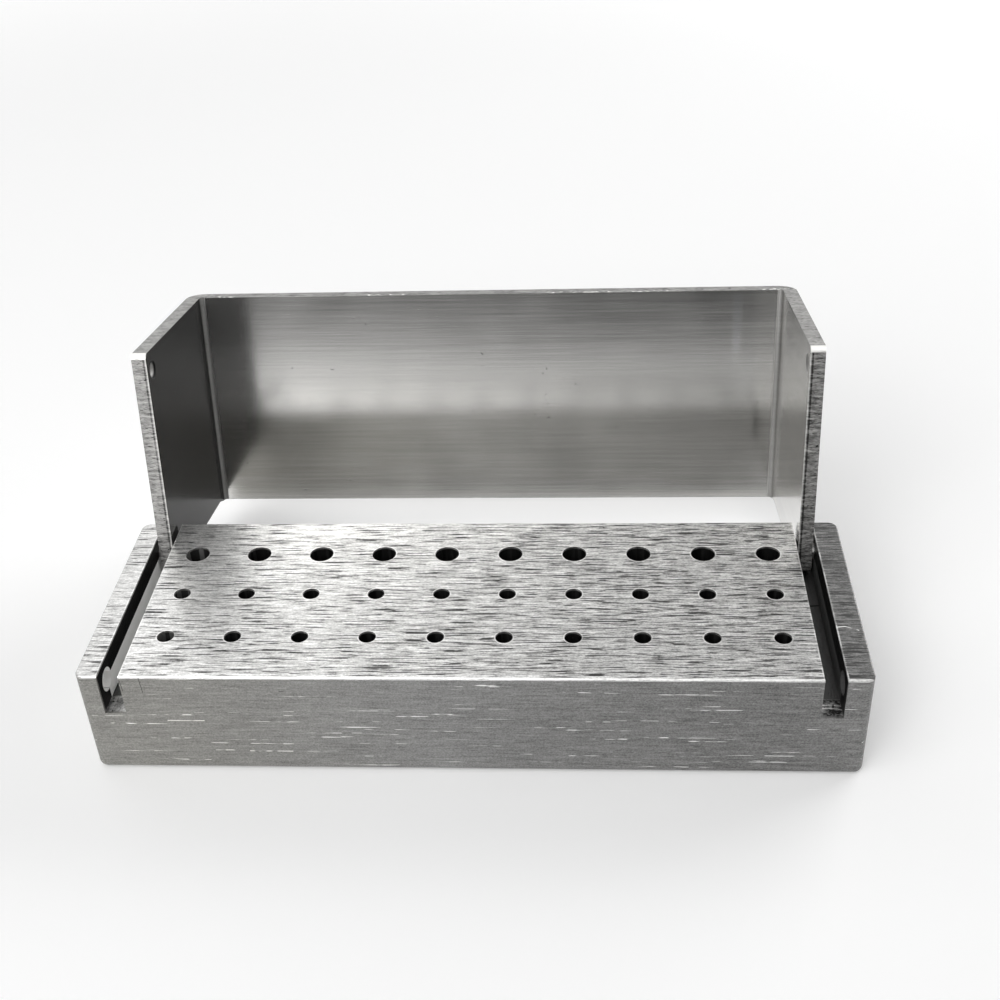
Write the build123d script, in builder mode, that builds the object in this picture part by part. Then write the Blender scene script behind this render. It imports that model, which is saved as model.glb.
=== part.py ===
"""Dental bur holder: an aluminium block with three rows of bur holes and a hinged U-shaped cover.

Millimetres. The origin is the middle of the block's underside, +Z is up, +X runs along the rows
of holes, and the block's front face looks along -Y. The cover stands open behind the block, as it
does while the burs are in use. It turns about the hinge pins, and its two arms run in the slots.
"""

import os
from math import atan2, cos, degrees, radians, sin, tan

from build123d import *

os.makedirs("parts", exist_ok=True)

# Block
block_length = 75.0
block_depth = 25.0
block_height = 12.0
left_cheek = 2.2
right_cheek = 2.55
corner_radius = 0.9
foot_radius = 0.7
top_edge_radius = 0.15

# Bur holes: two rows for the thinner shanks in front, one row for the thicker ones behind
columns = 10
column_pitch = 6.65
row_pitch = 6.7
row_shift = 0.2
small_hole = 1.7
large_hole = 2.5
hole_depth = 8.5
drill_point_angle = 118.0

# Cover
sheet = 1.5
side_gap = 0.3
headroom = 17.3
inside_bend = 0.5
heel_radius = 1.0
toe_radius = 0.5
lean_angle = 10.4
lid_tail = 0.5
tail_run = 1.5

# Hinge pins
pin_diameter = 2.3
pin_from_rear = 2.0
pin_drop = 2.2
pin_play = 0.05
pin_recess = 0.1
pin_end_gap = 0.1
pin_chamfer = 0.2
arm_floor_gap = 0.65
stop_gap = 0.01

# Snap: a dimple near the end of each arm, and the hole in the cheek that it clicks into
snap_hole = 2.3
snap_from_front = 2.2
snap_drop = 2.2
dimple_diameter = 1.9
dimple_height = 0.25
dimple_depth = 0.4

# Axis of the hinge, and of the snap holes
pin_y = block_depth / 2 - pin_from_rear
pin_z = block_height - pin_drop
snap_y = -block_depth / 2 + snap_from_front
snap_z = block_height - snap_drop

# The leaning cover's rear edge rests on the rear end of the slot's floor, which sets the floor
lean = radians(lean_angle)
pin_above_floor = (pin_from_rear * (1 + sin(lean)) + stop_gap) / cos(lean)
slot_floor = pin_z - pin_above_floor
slot_depth = block_height - slot_floor

# Each slot holds one arm of the cover, with a gap on both sides of it
slot_width = sheet + 2 * side_gap
left_wall = -block_length / 2 + left_cheek
right_wall = block_length / 2 - right_cheek
land_middle = (left_wall + right_wall) / 2

# The cover's plane has X along the hinge, Y away from the block and Z up the leaning cover
cover_plane = Plane(origin=(0, pin_y, pin_z), x_dir=(1, 0, 0), z_dir=(0, sin(lean), cos(lean)))
cover_left = left_wall + side_gap
cover_right = right_wall - side_gap
cover_width = cover_right - cover_left
cover_length = block_depth
plate_inside = headroom + pin_drop
arm_below_pin = pin_above_floor - arm_floor_gap
arm_length = plate_inside + sheet + arm_below_pin


# Block with its slots, bur holes, pin holes and snap holes
with BuildPart() as bur_block:
    with BuildSketch():
        RectangleRounded(block_length, block_depth, corner_radius)
    extrude(amount=block_height)
    fillet(bur_block.faces().sort_by(Axis.Z)[0].edges(), foot_radius)
    fillet(bur_block.faces().sort_by(Axis.Z)[-1].edges(), top_edge_radius)

    with BuildSketch(Plane.XY.offset(slot_floor)):
        for wall, inward in ((left_wall, 1), (right_wall, -1)):
            with Locations((wall + inward * slot_width / 2, 0)):
                Rectangle(slot_width, block_depth)
    extrude(amount=slot_depth, mode=Mode.SUBTRACT)

    for row, diameter in ((-1, small_hole), (0, small_hole), (1, large_hole)):
        row_y = row * row_pitch + row_shift
        point_depth = diameter / 2 / tan(radians(drill_point_angle / 2))
        with Locations((land_middle, row_y, block_height)):
            with GridLocations(column_pitch, 0, columns, 1):
                Hole(diameter / 2, hole_depth)
        with Locations((land_middle, row_y, block_height - hole_depth)):
            with GridLocations(column_pitch, 0, columns, 1):
                Cone(
                    bottom_radius=0,
                    top_radius=diameter / 2,
                    height=point_depth,
                    align=(Align.CENTER, Align.CENTER, Align.MAX),
                    mode=Mode.SUBTRACT,
                )

    for cheek_face, cheek in ((-block_length / 2, left_cheek), (right_wall, right_cheek)):
        with BuildSketch(Plane.YZ.offset(cheek_face)):
            with Locations((pin_y, pin_z)):
                Circle(pin_diameter / 2)
            with Locations((snap_y, snap_z)):
                Circle(snap_hole / 2)
        extrude(amount=cheek, mode=Mode.SUBTRACT)
bur_block.part.label = "bur_block"
export_step(bur_block.part, "parts/bur_block.step")


# Cover: a channel whose back becomes the lid when its arms go down into the slots
with BuildPart() as cover:
    with BuildSketch(cover_plane.offset(-pin_from_rear - lid_tail)) as channel:
        with Locations(((cover_left + cover_right) / 2, plate_inside + sheet)):
            Rectangle(cover_width, arm_length, align=(Align.CENTER, Align.MAX))
        fillet(channel.vertices().group_by(Axis.Y)[-1], inside_bend + sheet)
        with Locations(((cover_left + cover_right) / 2, plate_inside)):
            RectangleRounded(
                cover_width - 2 * sheet,
                2 * arm_length,
                inside_bend,
                align=(Align.CENTER, Align.MAX),
                mode=Mode.SUBTRACT,
            )
    extrude(amount=cover_length + lid_tail)

    # The lid's rear edge reaches a little past the arms' rear edges, which rest on the slots' floors
    arm_side = Plane(
        origin=cover_plane.from_local_coords((cover_left, 0, -pin_from_rear)),
        x_dir=cover_plane.y_dir,
        z_dir=cover_plane.x_dir,
    )
    tail_start = plate_inside - inside_bend
    with BuildSketch(arm_side):
        with BuildLine():
            Polyline(
                (-arm_length, 0),
                (tail_start - tail_run, 0),
                (tail_start, -lid_tail),
                (-arm_length, -lid_tail),
                close=True,
            )
        make_face()
    extrude(amount=cover_width, mode=Mode.SUBTRACT)

    arm_ends = cover.edges().filter_by(Axis.X).filter_by(lambda edge: edge.length < 2 * sheet)
    fillet(arm_ends.group_by(Axis.Y)[0], heel_radius)
    arm_ends = cover.edges().filter_by(Axis.X).filter_by(lambda edge: edge.length < 2 * sheet)
    fillet(arm_ends.group_by(Axis.Z)[-1], toe_radius)

    with BuildSketch(Plane.YZ.offset(cover_left)):
        with Locations((pin_y, pin_z)):
            Circle(pin_diameter / 2 + pin_play)
    extrude(amount=cover_width, mode=Mode.SUBTRACT)

    for outer_face, outward in ((cover_left, -1), (cover_right, 1)):
        for face, height, mode in (
            (outer_face, dimple_height, Mode.ADD),
            (outer_face - outward * sheet, dimple_depth, Mode.SUBTRACT),
        ):
            ball = (dimple_diameter**2 / 4 + height**2) / (2 * height)
            rim_angle = degrees(atan2(ball - height, dimple_diameter / 2))
            middle = cover_plane.from_local_coords((face, snap_z - pin_z, pin_y - snap_y))
            section = Plane(
                origin=middle, x_dir=cover_plane.z_dir, z_dir=cover_plane.y_dir * outward
            )
            with BuildSketch(section):
                with BuildLine():
                    CenterArc((0, height - ball), ball, rim_angle, 90 - rim_angle)
                    Line((0, height), (0, 0))
                    Line((0, 0), (dimple_diameter / 2, 0))
                make_face()
            revolve(axis=Axis(section.origin, section.y_dir), mode=mode)
cover.part.label = "cover"
export_step(cover.part, "parts/cover.step")


# Hinge pins, pressed into the cheeks from outside
for name, end_face, inward, cheek in (
    ("left_hinge_pin", -block_length / 2, 1, left_cheek),
    ("right_hinge_pin", block_length / 2, -1, right_cheek),
):
    with BuildPart() as hinge_pin:
        with BuildSketch(Plane.YZ.offset(end_face + inward * pin_recess)):
            with Locations((pin_y, pin_z)):
                Circle(pin_diameter / 2)
        extrude(amount=inward * (cheek + slot_width - pin_recess - pin_end_gap))
        chamfer(hinge_pin.edges().filter_by(GeomType.CIRCLE), pin_chamfer)
    hinge_pin.part.label = name
    export_step(hinge_pin.part, f"parts/{name}.step")
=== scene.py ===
"""Dental bur holder: finishes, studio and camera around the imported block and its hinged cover."""

from math import cos, pi, radians, sin

import bpy
from mathutils import Matrix, Vector

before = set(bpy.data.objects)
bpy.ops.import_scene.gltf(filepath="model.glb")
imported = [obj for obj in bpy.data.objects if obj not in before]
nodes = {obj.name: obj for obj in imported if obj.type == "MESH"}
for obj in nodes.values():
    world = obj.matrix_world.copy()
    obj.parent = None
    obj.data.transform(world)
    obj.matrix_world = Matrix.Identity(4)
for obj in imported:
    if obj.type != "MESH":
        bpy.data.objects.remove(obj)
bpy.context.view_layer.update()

MM = 0.001

# Sizes of the block, in millimetres
HALF_LENGTH = 37.5
HALF_DEPTH = 12.5
HEIGHT = 12.0
CORNER = 0.9
SLOT_FLOOR = 7.389
LEFT_SLOT = (-35.3, -33.2)
RIGHT_SLOT = (32.85, 34.95)
SLOTS_FROM = 32.0
HOLE_COLUMNS = 10
HOLE_PITCH = 6.65
HOLE_MIDDLE = -0.175
HOLE_ROWS = ((-6.5, 0.85), (0.2, 0.85), (6.9, 1.25))
SNAP_Y = -10.3
SNAP_Z = 9.8
SNAP_RADIUS = 1.15
# Top of the painted light strip on the cheeks' slot walls
LIT_STRIP_TOP = 9.85
HINGE_Y = 10.5
HINGE_Z = 9.8

# Sizes of the cover, from the hinge: its lean, the inner faces of its lid and arms, and its edges
LEAN = 10.4
LID_INSIDE = 19.5
LEFT_ARM = -33.5
RIGHT_ARM = 33.15
ARM_END = -1.76
LID_FRONT = 23.0
LID_REAR = -2.5
ARM_REAR = -2.0

# Finish of the block: brightness from 0 to 1, relief in millimetres
TOP_BASE = 0.60
TOP_RELIEF = 0.02
# The sides are darker than the top, partly as painted shade
SHADED_SIDE_BASE = 0.31
SIDE_RELIEF = 0.006
# Worn edges, bright as wear and as a painted highlight
WORN_EDGE_AND_HIGHLIGHT = 0.90
# Polished bright, and the level of the painted light on the slot walls and the cover's corners
POLISH_AND_PAINTED_LIGHT = 0.95
# Painted shade of the slot walls
SLOT_WALL_SHADE = 0.004

# Single scratches on the block, each from a start to an end point
DARK_HAIRS = (
    ((-31.2, -12.5, 12.0), (-31.1, -12.5, 10.1)),
    ((-33.1, -12.5, 11.6), (-33.0, -12.5, 10.3)),
    ((-17.9, -12.5, 10.3), (-17.4, -12.5, 10.4)),
)
BRIGHT_HAIRS = (
    ((34.6, -4.9, 12.0), (35.8, -4.75, 12.0)),
    ((35.8, -4.75, 12.0), (37.0, -5.3, 12.0)),
    ((-29.3, -12.5, 6.5), (-25.5, -12.5, 6.5)),
    ((-25.2, -12.5, 2.6), (-23.3, -12.5, 2.6)),
    ((-21.8, -12.5, 2.5), (-17.6, -12.5, 2.5)),
)

# Finish of the cover, with painted shade on its outside and the inner faces of its arms
COVER_BASE = 0.90
COVER_ROUGH = 0.17
OUTSIDE_SHADE = 0.66
LEFT_ARM_SHADE = 0.025
RIGHT_ARM_SHADE = 0.82
STREAK_X = 28.2

# Studio: tone and glow of the paper, light of the sky, and the sky as it is seen
FLOOR_TONE = 0.92
FLOOR_GLOW = 0.12
SKY_LIGHT = 0.10
SKY_SEEN = 0.72
LAMP_REACH = 0.6
WHITE = (1.0, 1.0, 1.0, 1.0)


class Wires:
    """Short calls that add and link the nodes of one tree."""

    def __init__(self, tree):
        self.tree = tree
        self.count = 0

    def add(self, kind, inputs=None, **settings):
        """Adds a node, sets its properties and feeds its inputs with sockets or plain values."""
        made = self.tree.nodes.new(kind)
        made.location = (190 * (self.count // 7) - 2400, 900 - 200 * (self.count % 7))
        self.count += 1
        for key, value in settings.items():
            setattr(made, key, value)
        for key, value in (inputs or {}).items():
            self.feed(made.inputs[key], value)
        return made

    def feed(self, socket, value):
        """Links a socket to an input, or sets the input's own value."""
        if isinstance(value, bpy.types.NodeSocket):
            self.tree.links.new(value, socket)
        else:
            socket.default_value = value

    def maths(self, operation, a, b=0.0):
        return self.add("ShaderNodeMath", {0: a, 1: b}, operation=operation).outputs[0]

    def plus(self, *terms):
        total = terms[0]
        for term in terms[1:]:
            total = self.maths("ADD", total, term)
        return total

    def minus(self, a, b):
        return self.maths("SUBTRACT", a, b)

    def times(self, *terms):
        total = terms[0]
        for term in terms[1:]:
            total = self.maths("MULTIPLY", total, term)
        return total

    def most(self, *terms):
        total = terms[0]
        for term in terms[1:]:
            total = self.maths("MAXIMUM", total, term)
        return total

    def least(self, *terms):
        total = terms[0]
        for term in terms[1:]:
            total = self.maths("MINIMUM", total, term)
        return total

    def inverse(self, value):
        """One minus a mask."""
        return self.maths("SUBTRACT", 1.0, value)

    def away(self, value, middle):
        """Distance of a coordinate from a middle value."""
        return self.maths("ABSOLUTE", self.maths("SUBTRACT", value, middle))

    def ramp(self, value, low, high, at_low=0.0, at_high=1.0):
        """Smooth change from one value at low to another at high."""
        made = self.add(
            "ShaderNodeMapRange",
            {"Value": value, "From Min": low, "From Max": high, "To Min": at_low, "To Max": at_high},
            interpolation_type="SMOOTHSTEP",
        )
        return made.outputs["Result"]

    def mix(self, mask, a, b):
        """a where the mask is 0 and b where it is 1."""
        return self.add("ShaderNodeMix", {0: mask, 2: a, 3: b}, data_type="FLOAT").outputs[0]

    def split(self, vector):
        """The three coordinates of a vector."""
        return self.add("ShaderNodeSeparateXYZ", {0: vector}).outputs[:]

    def join(self, x, y, z):
        """A vector from three coordinates."""
        return self.add("ShaderNodeCombineXYZ", {0: x, 1: y, 2: z}).outputs[0]

    def vector(self, operation, a, b):
        return self.add("ShaderNodeVectorMath", {0: a, 1: b}, operation=operation).outputs[0]

    def between(self, operation, a, b=(0.0, 0.0, 0.0)):
        """A number from two vectors, such as their distance."""
        return self.add("ShaderNodeVectorMath", {0: a, 1: b}, operation=operation).outputs["Value"]

    def scaled(self, vector, size):
        """A vector divided by one size."""
        return self.vector("DIVIDE", vector, self.join(size, size, size))

    def reach(self, a, b):
        """Length of the diagonal of two distances."""
        return self.maths("SQRT", self.plus(self.times(a, a), self.times(b, b)))

    def noise(self, vector, size, shift=0.0, detail=2.0, roughness=0.5):
        """Noise with a feature size per axis, in millimetres. The shift picks another part of it."""
        placed = self.add(
            "ShaderNodeMapping",
            {
                "Vector": vector,
                "Location": (shift, 0.37 * shift, 0.71 * shift),
                "Scale": tuple(1.0 / part for part in size),
            },
        )
        made = self.add(
            "ShaderNodeTexNoise",
            {"Vector": placed.outputs[0], "Scale": 1.0, "Detail": detail, "Roughness": roughness},
        )
        return made.outputs["Fac"]

    def tint(self, value, shares):
        """A grey value as a slightly tinted colour."""
        parts = [
            self.add("ShaderNodeMath", {0: value, 1: share}, operation="MULTIPLY", use_clamp=True)
            for share in shares
        ]
        colour = {index: part.outputs[0] for index, part in enumerate(parts)}
        return self.add("ShaderNodeCombineColor", colour).outputs[0]

    def group(self, shared, **values):
        """Places a shared node group and returns its outputs by name."""
        made = self.add("ShaderNodeGroup", node_tree=shared)
        for label, value in values.items():
            self.feed(made.inputs[label.replace("_", " ")], value)
        return made.outputs


def shared_group(name, inputs, outputs):
    """Starts a shader node group with named sockets."""
    tree = bpy.data.node_groups.new(name, "ShaderNodeTree")
    for label, value in inputs.items():
        kind = "NodeSocketVector" if value is None else "NodeSocketFloat"
        socket = tree.interface.new_socket(label, in_out="INPUT", socket_type=kind)
        if value is not None:
            socket.default_value = value
    for label in outputs:
        tree.interface.new_socket(label, in_out="OUTPUT", socket_type="NodeSocketFloat")
    wires = Wires(tree)
    return tree, wires, wires.add("NodeGroupInput").outputs, wires.add("NodeGroupOutput").inputs


def brushed_lines():
    """Brushing along X: dark scratches, bright lines between them and fine grain, each from 0 to 1."""
    tree, w, given, result = shared_group(
        "brushed_lines",
        {"Vector": None, "Length": 2.2, "Width": 0.2, "Wave": 0.1},
        ("Dark", "Faint", "Bright", "Grain"),
    )
    bend = w.minus(w.noise(given["Vector"], (7.0, 3.0, 3.0), 3.0, 0.0), 0.5)
    bend = w.times(bend, given["Wave"])
    bent = w.vector("ADD", given["Vector"], w.join(0.0, bend, bend))
    lines = w.vector("DIVIDE", bent, w.join(given["Length"], given["Width"], given["Width"]))
    deep = w.noise(lines, (1.0, 1.0, 1.0), 23.0, 1.0)
    w.feed(result["Dark"], w.ramp(deep, 0.415, 0.36))
    w.feed(result["Bright"], w.ramp(deep, 0.56, 0.66))
    w.feed(result["Faint"], w.ramp(w.noise(lines, (0.5, 0.6, 0.6), 11.0, 0.0), 0.42, 0.32))
    w.feed(result["Grain"], w.noise(lines, (0.11, 0.75, 0.75), 51.0, 1.0, 0.7))
    return tree


def cut_marks():
    """Torn grain of a sawn or milled face with small dark nicks: relief, and tone from -1 to 1."""
    tree, w, given, result = shared_group(
        "cut_marks", {"Vector": None, "Size": 0.3}, ("Relief", "Tone")
    )
    scaled = w.scaled(given["Vector"], given["Size"])
    grain = w.minus(w.noise(scaled, (0.8, 0.8, 0.6), 5.0, 1.0, 0.65), 0.5)
    blotch = w.minus(w.noise(scaled, (3.0, 3.0, 2.0), 17.0, 0.0), 0.5)
    nick = w.ramp(w.noise(scaled, (0.9, 0.9, 0.8), 29.0, 0.0), 0.30, 0.22)
    w.feed(result["Relief"], w.plus(grain, w.times(blotch, 0.5), w.times(nick, -0.5)))
    w.feed(result["Tone"], w.plus(w.times(grain, 1.6), w.times(blotch, 1.2), w.times(nick, -0.9)))
    return tree


def hole_row():
    """Distance from the rim of the nearest hole in a row of ten, in millimetres."""
    tree, w, given, result = shared_group(
        "hole_row", {"Vector": None, "Row": 0.0, "Radius": 0.85}, ("Gap",)
    )
    x, y, _ = w.split(given["Vector"])
    steps = w.maths("DIVIDE", w.minus(x, HOLE_MIDDLE), HOLE_PITCH)
    nearest = w.plus(w.maths("FLOOR", steps), 0.5)
    last = (HOLE_COLUMNS - 1) / 2
    nearest = w.most(w.least(nearest, last), -last)
    across = w.times(w.minus(steps, nearest), HOLE_PITCH)
    reach = w.reach(across, w.minus(y, given["Row"]))
    w.feed(result["Gap"], w.minus(reach, given["Radius"]))
    return tree


def small_pits():
    """Small pits in loose groups."""
    tree, w, given, result = shared_group(
        "small_pits", {"Vector": None, "Spacing": 4.0, "Radius": 0.12}, ("Pit",)
    )
    spots = w.scaled(given["Vector"], given["Radius"])
    groups = w.scaled(given["Vector"], given["Spacing"])
    pit = w.ramp(w.noise(spots, (2.6, 2.6, 2.6), 5.0, 0.0), 0.21, 0.14)
    in_group = w.ramp(w.noise(groups, (1.0, 1.0, 1.0), 9.0, 0.0), 0.50, 0.60)
    w.feed(result["Pit"], w.times(pit, in_group))
    return tree


def hairline():
    """One straight scratch from a start to an end point, as a mask."""
    tree, w, given, result = shared_group(
        "hairline", {"Vector": None, "Start": None, "End": None, "Width": 0.05}, ("Mask",)
    )
    run = w.vector("SUBTRACT", given["End"], given["Start"])
    reach = w.vector("SUBTRACT", given["Vector"], given["Start"])
    share = w.maths("DIVIDE", w.between("DOT_PRODUCT", reach, run), w.between("DOT_PRODUCT", run, run))
    share = w.least(w.most(share, 0.0), 1.0)
    foot = w.add("ShaderNodeVectorMath", {0: run, "Scale": share}, operation="SCALE").outputs[0]
    off = w.between("DISTANCE", reach, foot)
    w.feed(result["Mask"], w.ramp(off, given["Width"], w.times(given["Width"], 0.4)))
    return tree


BRUSHED_LINES = brushed_lines()
HAIRLINE = hairline()
CUT_MARKS = cut_marks()
HOLE_ROW = hole_row()
SMALL_PITS = small_pits()


def new_material(name):
    """Starts a material and returns its wires, its shader and its place in millimetres."""
    material = bpy.data.materials.new(name)
    material.use_nodes = True
    shader = material.node_tree.nodes["Principled BSDF"]
    w = Wires(material.node_tree)
    spot = w.add("ShaderNodeTexCoord").outputs["Object"]
    where = w.add("ShaderNodeVectorMath", {0: spot, "Scale": 1.0 / MM}, operation="SCALE").outputs[0]
    return material, w, shader, where


def scratches(w, where, hairs, width):
    """Mask of several straight scratches."""
    masks = [w.group(HAIRLINE, Vector=where, Start=a, End=b, Width=width)["Mask"] for a, b in hairs]
    return w.most(*masks)


def metal_finish(w, shader, tone, shares, roughness, relief, spread):
    """Feeds the shader: tinted colour, roughness, relief in millimetres, and gloss spread across X."""
    w.feed(shader.inputs["Base Color"], w.tint(tone, shares))
    w.feed(shader.inputs["Roughness"], roughness)
    shader.inputs["Metallic"].default_value = 1.0
    bump = w.add("ShaderNodeBump", {"Strength": 1.0, "Distance": MM, "Height": relief})
    w.feed(shader.inputs["Normal"], bump.outputs["Normal"])
    if spread:
        shader.inputs["Anisotropic"].default_value = spread
        shader.inputs["Anisotropic Rotation"].default_value = 0.25
        w.feed(shader.inputs["Tangent"], w.join(1.0, 0.02, 0.0))


def brushed_aluminium():
    """The block: brushed along X outside, milled slots, drilled holes, bright worn edges with a
    painted highlight, and painted shade and light in the slots, the holes and towards the right.
    """
    material, w, shader, where = new_material("brushed_aluminium")
    x, y, z = w.split(where)
    past_x = w.most(w.minus(w.away(x, 0.0), HALF_LENGTH - CORNER), 0.0)
    past_y = w.most(w.minus(w.away(y, 0.0), HALF_DEPTH - CORNER), 0.0)
    wall_gap = w.minus(CORNER, w.reach(past_x, past_y))
    top_gap = w.minus(HEIGHT, z)
    skin = w.ramp(w.least(wall_gap, top_gap, z), 0.27, 0.21)
    on_top = w.ramp(top_gap, 0.20, 0.13)

    brushed = w.group(
        BRUSHED_LINES,
        Vector=where,
        Length=w.mix(on_top, 3.2, 3.4),
        Width=w.mix(on_top, 0.22, 0.185),
        Wave=0.045,
    )
    smudge = w.minus(w.noise(where, (12.0, 7.0, 7.0), 2.0, 1.0), 0.5)
    speckle = w.minus(w.noise(where, (0.17, 0.14, 0.14), 8.0, 1.0, 0.7), 0.5)
    # Painted shade: the top and the sides darken towards the right
    shade_to_right = w.ramp(x, -20.0, 34.0)

    # Top: dark scratches and bright lines, with painted shade that darkens it towards the right
    top_base = w.times(TOP_BASE, w.plus(1.0, w.times(smudge, 0.10), w.times(shade_to_right, -0.29)))
    top_tone = w.plus(
        top_base,
        w.times(brushed["Dark"], w.plus(-0.55, w.times(shade_to_right, -0.14))),
        w.times(brushed["Faint"], w.plus(-0.30, w.times(shade_to_right, -0.10))),
        w.times(brushed["Bright"], 0.20),
        w.times(w.minus(brushed["Grain"], 0.5), 0.55),
        w.times(speckle, 0.45),
    )
    # Painted shade on the cheeks' tops: the right end much darker, the left end a little
    shaded_cheek_end = w.times(on_top, w.ramp(x, 34.3, 35.3))
    top_tone = w.times(top_tone, w.mix(shaded_cheek_end, 1.0, 0.36), w.ramp(x, -34.0, -35.0, 1.0, 0.88))

    # Sides: fine grain, faint lines, and bright dashes that follow each other on one line, with
    # painted shade towards the right
    dash_line = w.ramp(w.noise(where, (8.0, 0.14, 0.14), 51.0, 0.0), 0.74, 0.82)
    dash = w.times(dash_line, w.ramp(w.noise(where, (1.1, 0.14, 0.14), 61.0, 0.0), 0.46, 0.60))
    side_tone = w.times(
        SHADED_SIDE_BASE,
        w.plus(
            1.0,
            w.times(smudge, 0.22),
            w.times(shade_to_right, -0.28),
            w.times(brushed["Dark"], -0.12),
            w.times(brushed["Faint"], -0.10),
            w.times(brushed["Bright"], 0.12),
            w.times(speckle, 0.9),
        ),
    )
    side_tone = w.plus(side_tone, w.times(dash, 0.75))
    tone = w.mix(on_top, side_tone, w.most(top_tone, 0.06))

    # Worn edges, brightened as a painted highlight too: the long front edge is the widest, and every
    # rim of a slot or hole is a bright line
    front_edge = w.times(on_top, w.ramp(y, 0.38 - HALF_DEPTH, 0.18 - HALF_DEPTH))
    slot_edges = w.least(*[w.away(x, wall) for wall in LEFT_SLOT + RIGHT_SLOT])
    slot_edge = w.times(on_top, w.ramp(slot_edges, 0.16, 0.06))
    rims = [
        w.group(HOLE_ROW, Vector=where, Row=row, Radius=radius)["Gap"] for row, radius in HOLE_ROWS
    ]
    rim = w.times(on_top, w.ramp(w.least(*rims), 0.16, 0.06))
    worn = w.ramp(w.noise(where, (1.6, 1.6, 1.6), 41.0, 0.0), 0.38, 0.62)
    bright = w.most(front_edge, w.times(w.most(slot_edge, rim), w.plus(0.25, w.times(worn, 0.6))))
    broken = w.plus(0.30, w.times(brushed["Grain"], 0.8))
    tone = w.mix(w.times(bright, broken), tone, WORN_EDGE_AND_HIGHLIGHT)

    # Scratches seen on the right cheek and beside the left slot, and long bright ones on the front
    shine = scratches(w, where, BRIGHT_HAIRS, 0.07)
    shine = w.times(shine, w.ramp(w.noise(where, (0.7, 0.5, 0.5), 81.0, 0.0), 0.34, 0.52))
    tone = w.mix(scratches(w, where, DARK_HAIRS, 0.05), tone, 0.10)
    tone = w.mix(shine, tone, POLISH_AND_PAINTED_LIGHT)

    # Slots: arcs of the cutter on the floor, which is in painted shade except near the front, and
    # lighter in the left slot than the right as painted light
    marks = w.group(CUT_MARKS, Vector=where, Size=0.30)
    on_left = w.ramp(x, 1.0, -1.0)
    in_slot = w.times(w.inverse(skin), w.ramp(w.away(x, 0.0), SLOTS_FROM - 0.2, SLOTS_FROM + 0.2))
    on_floor = w.ramp(z, SLOT_FLOOR + 0.08, SLOT_FLOOR + 0.04)
    near_front = w.ramp(y, -9.9, -10.2)
    arc = w.between("DISTANCE", where, (33.9, -15.5, SLOT_FLOOR))
    arcs = w.ramp(w.noise(w.join(arc, w.times(x, 0.25), 0.0), (0.22, 1.0, 1.0), 91.0, 0.0), 0.52, 0.66)
    milled = w.plus(
        w.mix(on_left, 0.16, 0.32),
        w.times(marks["Tone"], 0.40),
        w.times(arcs, w.mix(on_left, 0.45, 0.15)),
    )
    floor_tone = w.mix(near_front, 0.10, w.most(milled, 0.03))
    groove = (((32.9, 3.9, SLOT_FLOOR), (34.9, 4.1, SLOT_FLOOR)),)
    floor_tone = w.mix(scratches(w, where, groove, 0.14), floor_tone, 0.02)

    # Their walls: painted shade, with a painted light strip low on the cheeks and in the snap holes,
    # bright in the left slot and faint in the right, and a bright wall on the left
    near_cheek = w.most(w.minus(LEFT_SLOT[0] + 0.15, x), w.minus(x, RIGHT_SLOT[1] - 0.15))
    painted_lit_strip = w.times(
        w.ramp(near_cheek, 0.0, 0.05),
        w.ramp(z, LIT_STRIP_TOP + 0.02, LIT_STRIP_TOP - 0.02),
        w.ramp(y, SNAP_Y, SNAP_Y + 0.1),
        w.inverse(on_floor),
    )
    snap_gap = w.reach(w.minus(y, SNAP_Y), w.minus(z, SNAP_Z))
    in_snap = w.times(
        w.ramp(snap_gap, SNAP_RADIUS + 0.07, SNAP_RADIUS + 0.03),
        w.ramp(w.away(x, 0.0), RIGHT_SLOT[1] - 0.05, RIGHT_SLOT[1] + 0.05),
    )
    land_wall = w.times(w.ramp(w.away(x, LEFT_SLOT[1]), 0.06, 0.03), w.ramp(z, 8.6, 9.2))
    wall_tone = w.mix(w.most(painted_lit_strip, in_snap), SLOT_WALL_SHADE, w.mix(on_left, 0.09, POLISH_AND_PAINTED_LIGHT))
    wall_tone = w.mix(land_wall, wall_tone, POLISH_AND_PAINTED_LIGHT)
    slot_tone = w.mix(on_floor, wall_tone, floor_tone)
    matte = w.times(in_slot, w.inverse(w.most(on_floor, land_wall)))
    painted_lit_strip = w.times(painted_lit_strip, in_slot)

    # Holes: upright bars on their walls, in painted shade, with painted light that shows them in the
    # leftmost ones only
    bars = w.ramp(w.noise(where, (0.42, 0.42, 9.0), 33.0, 0.0), 0.44, 0.60, 0.2, 1.2)
    hole_tone = w.plus(0.02, w.times(bars, w.ramp(x, -33.0, -22.0, 0.26, 0.02)))
    tone = w.mix(skin, w.mix(in_slot, hole_tone, slot_tone), tone)

    roughness = w.mix(on_top, 0.42, 0.36)
    roughness = w.plus(roughness, w.times(w.minus(brushed["Grain"], 0.5), 0.12))
    roughness = w.mix(bright, roughness, 0.30)
    roughness = w.mix(skin, w.mix(painted_lit_strip, 0.45, 0.7), roughness)

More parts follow.
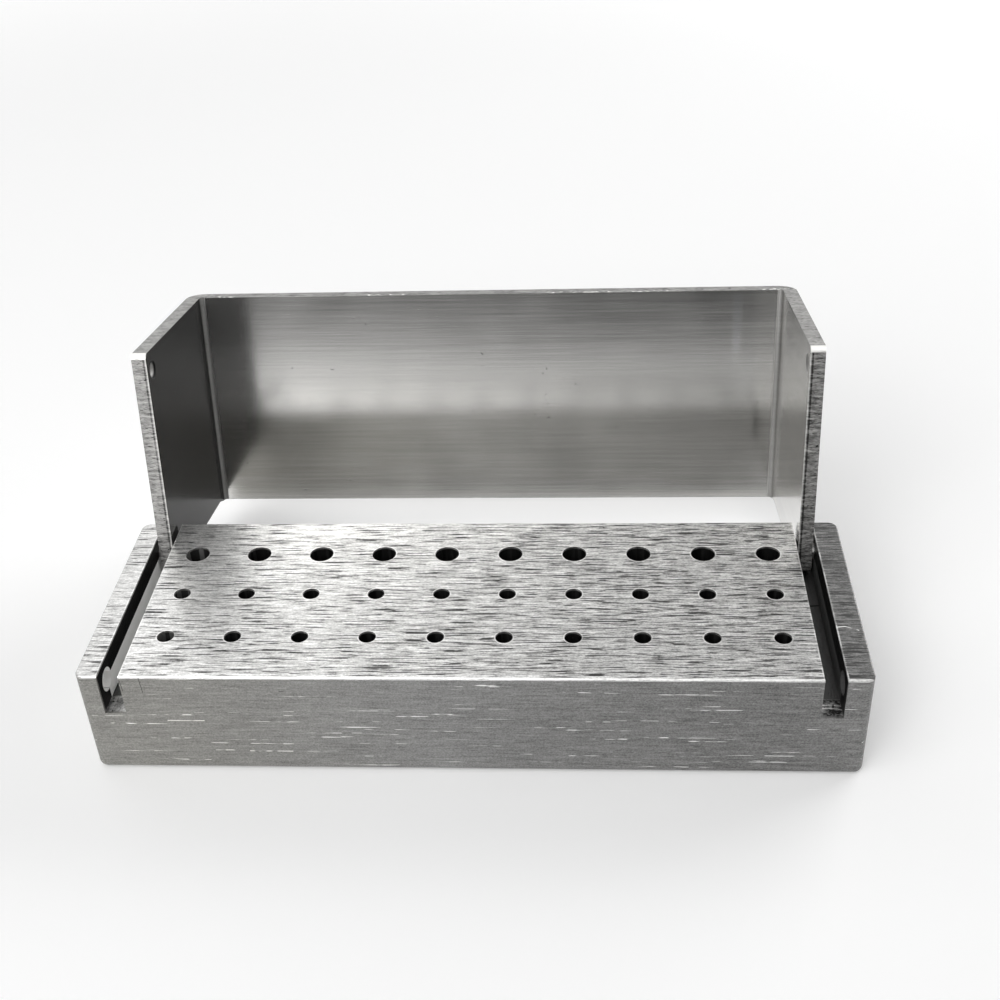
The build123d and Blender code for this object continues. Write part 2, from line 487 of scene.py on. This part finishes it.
    # Relief: scratches, a front edge that rolls off, milled walls, and a tilt of the painted light
    # strip
    roll_off = w.ramp(y, 0.8 - HALF_DEPTH, -0.2 - HALF_DEPTH, 0.0, -0.20)
    scratched = w.times(brushed["Dark"], w.mix(on_top, -SIDE_RELIEF, -TOP_RELIEF))
    tilt = w.times(painted_lit_strip, on_left, w.minus(SNAP_Z, z))
    relief = w.mix(
        skin,
        w.plus(w.times(marks["Relief"], 0.03), tilt),
        w.plus(scratched, w.times(roll_off, on_top)),
    )
    warm = w.times(skin, w.inverse(on_top), w.ramp(x, 0.0, -37.0))
    shares = (1.0, w.mix(warm, 0.996, 0.985), w.mix(warm, 0.98, 0.925))
    metal_finish(w, shader, tone, shares, roughness, relief, 0.55)
    shader.inputs["Specular IOR Level"].default_value = 0.1
    w.feed(shader.inputs["Metallic"], w.inverse(matte))
    return material


def satin_aluminium():
    """The cover: satin sheet with faint lines along its length, pits, sawn edges and worn corners,
    with painted shade on the arms, in the bends and dimples and outside, and a painted highlight on
    the corners.
    """
    material, w, shader, where = new_material("satin_aluminium")
    turned = w.add(
        "ShaderNodeMapping",
        {"Vector": where, "Location": (0.0, HINGE_Y, HINGE_Z), "Rotation": (-radians(LEAN), 0.0, 0.0)},
        vector_type="TEXTURE",
    ).outputs[0]
    x, out, up = w.split(turned)
    sheet_spot = w.join(w.plus(x, out), 0.0, up)

    lines = w.minus(w.noise(sheet_spot, (12.0, 1.0, 0.17), 4.0, 1.0, 0.7), 0.5)
    bands = w.minus(w.noise(sheet_spot, (60.0, 1.0, 1.3), 9.0, 0.0), 0.5)
    cloud = w.minus(w.noise(sheet_spot, (7.0, 7.0, 6.0), 13.0, 1.0), 0.5)
    pits = w.group(SMALL_PITS, Vector=turned, Spacing=4.2, Radius=0.16)["Pit"]
    streak = w.times(
        w.ramp(w.away(x, STREAK_X), 0.75, 0.05),
        w.ramp(up, 13.5, 18.5),
        w.ramp(up, LID_FRONT - 0.1, LID_FRONT - 0.8),
        w.ramp(out, LID_INSIDE - 0.6, LID_INSIDE - 0.2),
        w.ramp(out, LID_INSIDE + 0.9, LID_INSIDE + 0.7),
    )
    sheet_tone = w.plus(
        1.0,
        w.times(lines, 0.30),
        w.times(bands, 0.10),
        w.times(cloud, 0.14),
        w.times(pits, -0.5),
        w.times(streak, 0.35),
    )
    sheet_tone = w.times(COVER_BASE, sheet_tone)

    # Places on the sheet, each darkened as painted shade: the arms' inner faces, the left one nearly
    # black, the inner corners, the dimples and the outside
    from_left_arm, from_right_arm = w.away(x, LEFT_ARM), w.away(x, RIGHT_ARM)
    from_arm = w.least(from_left_arm, from_right_arm)
    under_lid = w.ramp(out, LID_INSIDE - 0.2, LID_INSIDE - 0.5)
    on_left_arm = w.times(w.ramp(from_left_arm, 0.25, 0.1), under_lid)
    on_right_arm = w.times(w.ramp(from_right_arm, 0.25, 0.1), under_lid)
    # Painted shade in the inner bends, darker on the left
    in_bend = w.times(
        w.ramp(from_arm, 0.62, 0.45),
        w.ramp(out, LID_INSIDE - 0.65, LID_INSIDE - 0.45),
        w.ramp(out, LID_INSIDE + 0.45, LID_INSIDE + 0.25),
    )
    # Painted shade in the arms' dimples
    dimple = w.ramp(w.reach(out, w.minus(up, HINGE_Y - SNAP_Y)), 1.0, 0.9)
    # Painted shade over the cover's outside
    outside = w.most(
        w.ramp(out, LID_INSIDE + 0.8, LID_INSIDE + 1.1),
        w.ramp(x, LEFT_ARM - 0.7, LEFT_ARM - 1.0),
        w.ramp(x, RIGHT_ARM + 0.7, RIGHT_ARM + 1.0),
    )
    sheet_tone = w.times(
        sheet_tone,
        w.mix(on_left_arm, 1.0, LEFT_ARM_SHADE),
        w.mix(on_right_arm, 1.0, RIGHT_ARM_SHADE),
        w.mix(in_bend, 1.0, w.ramp(x, -1.0, 1.0, 0.26, 0.40)),
        w.mix(w.times(dimple, w.inverse(outside)), 1.0, 0.3),
        w.mix(outside, 1.0, OUTSIDE_SHADE),
    )

    # Sawn edges: torn grain, a dark line and a bright rim on the arms' ends, burrs on the lid's front
    marks = w.group(CUT_MARKS, Vector=w.vector("MULTIPLY", turned, (0.5, 1.0, 1.7)), Size=0.26)
    tail = w.ramp(out, LID_INSIDE - 2.1, LID_INSIDE - 0.5, ARM_REAR, LID_REAR)
    rear = w.ramp(w.minus(up, tail), 0.06, 0.03)
    arm_end = w.ramp(out, ARM_END + 0.06, ARM_END + 0.03)
    front = w.ramp(up, LID_FRONT - 0.06, LID_FRONT - 0.03)
    cut = w.most(rear, arm_end, front)
    cut_tone = w.plus(w.mix(w.ramp(x, -1.0, 1.0), 0.38, 0.25), w.times(marks["Tone"], 0.36))
    cut_tone = w.plus(cut_tone, w.times(arm_end, w.ramp(w.away(from_arm, 0.26), 0.12, 0.04), -0.22))
    cut_tone = w.plus(cut_tone, w.times(arm_end, w.ramp(from_arm, 0.13, 0.06), 0.35))
    cut_tone = w.mix(front, cut_tone, w.plus(0.30, w.times(marks["Tone"], 0.22)))
    cut_tone = w.most(cut_tone, 0.04)
    burr = w.times(
        front,
        w.ramp(w.away(out, LID_INSIDE + 0.15), 0.25, 0.1),
        w.ramp(w.noise(turned, (0.5, 0.3, 0.3), 71.0, 0.0), 0.56, 0.66),
        w.ramp(w.noise(turned, (5.5, 5.0, 5.0), 77.0, 0.0), 0.52, 0.58),
    )
    cut_tone = w.plus(cut_tone, w.times(burr, 0.7))
    # The arms' front corners: worn bright, with a painted highlight
    corner = w.ramp(w.plus(w.minus(out, ARM_END), w.minus(LID_FRONT, up)), 0.62, 0.45)
    tone = w.mix(corner, w.mix(cut, sheet_tone, cut_tone), POLISH_AND_PAINTED_LIGHT)

    roughness = w.plus(COVER_ROUGH, w.times(cloud, 0.06), w.times(lines, 0.05))
    roughness = w.mix(w.most(in_bend, dimple), roughness, 0.5)
    roughness = w.mix(corner, w.mix(cut, roughness, 0.5), 0.3)
    relief = w.plus(w.times(lines, 0.0015), w.times(pits, -0.008))
    relief = w.mix(cut, relief, w.times(marks["Relief"], 0.05))
    metal_finish(w, shader, tone, (1.0, 0.99, 0.965), roughness, relief, 0.4)
    shader.inputs["Specular IOR Level"].default_value = 0.1
    # The left arm's inner face is also made matte, for its painted shade
    w.feed(shader.inputs["Metallic"], w.mix(w.times(on_left_arm, w.inverse(cut)), 1.0, 0.15))
    return material


def turned_steel():
    """The hinge pins: plain turned steel."""
    material, w, shader, where = new_material("turned_steel")
    rings = w.minus(w.noise(where, (0.12, 1.5, 1.5), 6.0, 0.0), 0.5)
    tone = w.plus(0.62, w.times(rings, 0.25))
    roughness = w.plus(0.28, w.times(rings, 0.15))
    metal_finish(w, shader, tone, (1.0, 0.99, 0.97), roughness, w.times(rings, 0.004), 0.0)
    return material


def dress(piece, material):
    """Gives a piece its material."""
    piece.data.materials.clear()
    piece.data.materials.append(material)


aluminium = brushed_aluminium()
steel = turned_steel()
dress(nodes["bur_block"], aluminium)
dress(nodes["cover"], satin_aluminium())
dress(nodes["left_hinge_pin"], steel)
dress(nodes["right_hinge_pin"], steel)


def studio_sheet(name, corners):
    """Puts up a flat sheet of paper between four corners, in millimetres, as part of the studio."""
    mesh = bpy.data.meshes.new(name)
    mesh.from_pydata([[part * MM for part in corner] for corner in corners], [], [(0, 1, 2, 3)])
    sheet = bpy.data.objects.new(name, mesh)
    bpy.context.scene.collection.objects.link(sheet)
    material, w, shader, where = new_material(name + "_paper")
    shader.inputs["Emission Color"].default_value = WHITE
    shader.inputs["Roughness"].default_value = 0.9
    shader.inputs["Specular IOR Level"].default_value = 0.1
    mesh.materials.append(material)
    return sheet, w, shader, where


def backdrop_seen(w):
    """One for rays from the camera, and for those that metal or glass send on."""
    seen = w.add("ShaderNodeLightPath").outputs
    return w.most(seen["Is Camera Ray"], seen["Is Glossy Ray"], seen["Is Transmission Ray"])


def pale_floor():
    """A plain pale floor that glows as much as the sky far out, so that the two meet softly."""
    _, w, shader, where = studio_sheet(
        "floor", ((-3000, -3000, 0), (3000, -3000, 0), (3000, 3000, 0), (-3000, 3000, 0))
    )
    shader.inputs["Base Color"].default_value = (FLOOR_TONE, FLOOR_TONE, FLOOR_TONE, 1.0)
    glow = w.ramp(w.between("LENGTH", where), 200.0, 650.0, FLOOR_GLOW, SKY_SEEN - SKY_LIGHT)
    w.feed(shader.inputs["Emission Strength"], w.times(backdrop_seen(w), glow))


def grey_card(name, corners):
    """A grey card in front of the holder for its metal to mirror, out of the camera's sight."""
    card, w, shader, where = studio_sheet(name, corners)
    card.visible_camera = False
    card.visible_shadow = False
    card.visible_diffuse = False
    x, y, _ = w.split(where)
    grey = w.times(
        w.ramp(y, -62.0, -135.0, 1.0, w.ramp(x, -110.0, 70.0, 0.42, 0.05)),
        w.ramp(y, -100.0, -290.0, 0.92, 0.07),
    )
    patch = w.times(w.ramp(x, -330.0, -240.0), w.ramp(x, 300.0, 210.0))
    tone = w.mix(patch, FLOOR_TONE, grey)
    w.feed(shader.inputs["Base Color"], w.tint(tone, (1.0, 1.0, 1.0)))
    w.feed(shader.inputs["Emission Strength"], w.times(backdrop_seen(w), tone, FLOOR_GLOW))


def softbox(name, azimuth, elevation, size, radiance):
    """Adds a square area lamp that faces the holder. Azimuth 0 is in front and 90 is on its right."""
    turn, rise = radians(azimuth), radians(elevation)
    towards = Vector((sin(turn) * cos(rise), -cos(turn) * cos(rise), sin(rise)))
    data = bpy.data.lights.new(name, "AREA")
    data.shape = "SQUARE"
    data.size = size
    data.energy = radiance * size * size * pi
    made = bpy.data.objects.new(name, data)
    made.location = towards * LAMP_REACH
    made.rotation_euler = (-towards).to_track_quat("-Z", "Y").to_euler()
    made.visible_camera = False
    bpy.context.scene.collection.objects.link(made)


pale_floor()
grey_card("lying_card", ((-330, -760, 0.3), (300, -760, 0.3), (300, -60, 0.3), (-330, -60, 0.3)))
grey_card("standing_card", ((-330, -760, 0.3), (-330, -760, 420), (300, -760, 420), (300, -760, 0.3)))

softbox("zenith", 0, 88, 0.45, 0.6)
softbox("front_left_high", 315, 52, 0.45, 2.2)
softbox("front_left", -28, 34, 0.24, 3.6)
softbox("front", 0, 34, 0.24, 2.4)
softbox("behind", 180, 34, 0.30, 0.3)
softbox("behind_left_high", 225, 52, 0.45, 0.55)
softbox("behind_left", 225, 22, 0.45, 0.7)
softbox("behind_right", 135, 22, 0.45, 3.4)

world = bpy.data.worlds.new("studio")
bpy.context.scene.world = world
world.use_nodes = True
sky = world.node_tree.nodes["Background"].inputs
sky["Color"].default_value = WHITE
wires = Wires(world.node_tree)
wires.feed(sky["Strength"], wires.mix(backdrop_seen(wires), SKY_LIGHT, SKY_SEEN))

camera_data = bpy.data.cameras.new("camera")
camera_data.sensor_width = 36.0
camera_data.lens = 48.70
camera_data.clip_start = 0.01
camera_data.clip_end = 20.0
camera = bpy.data.objects.new("camera", camera_data)
camera.matrix_world = (
    Matrix.Translation((11.659 * MM, -106.192 * MM, 96.580 * MM))
    @ Matrix.Rotation(radians(4.716), 4, "Z")
    @ Matrix.Rotation(radians(90 - 34.411), 4, "X")
    @ Matrix.Rotation(radians(-2.892), 4, "Z")
)
bpy.context.scene.collection.objects.link(camera)
bpy.context.scene.camera = camera

bpy.context.scene.view_settings.view_transform = "Standard"
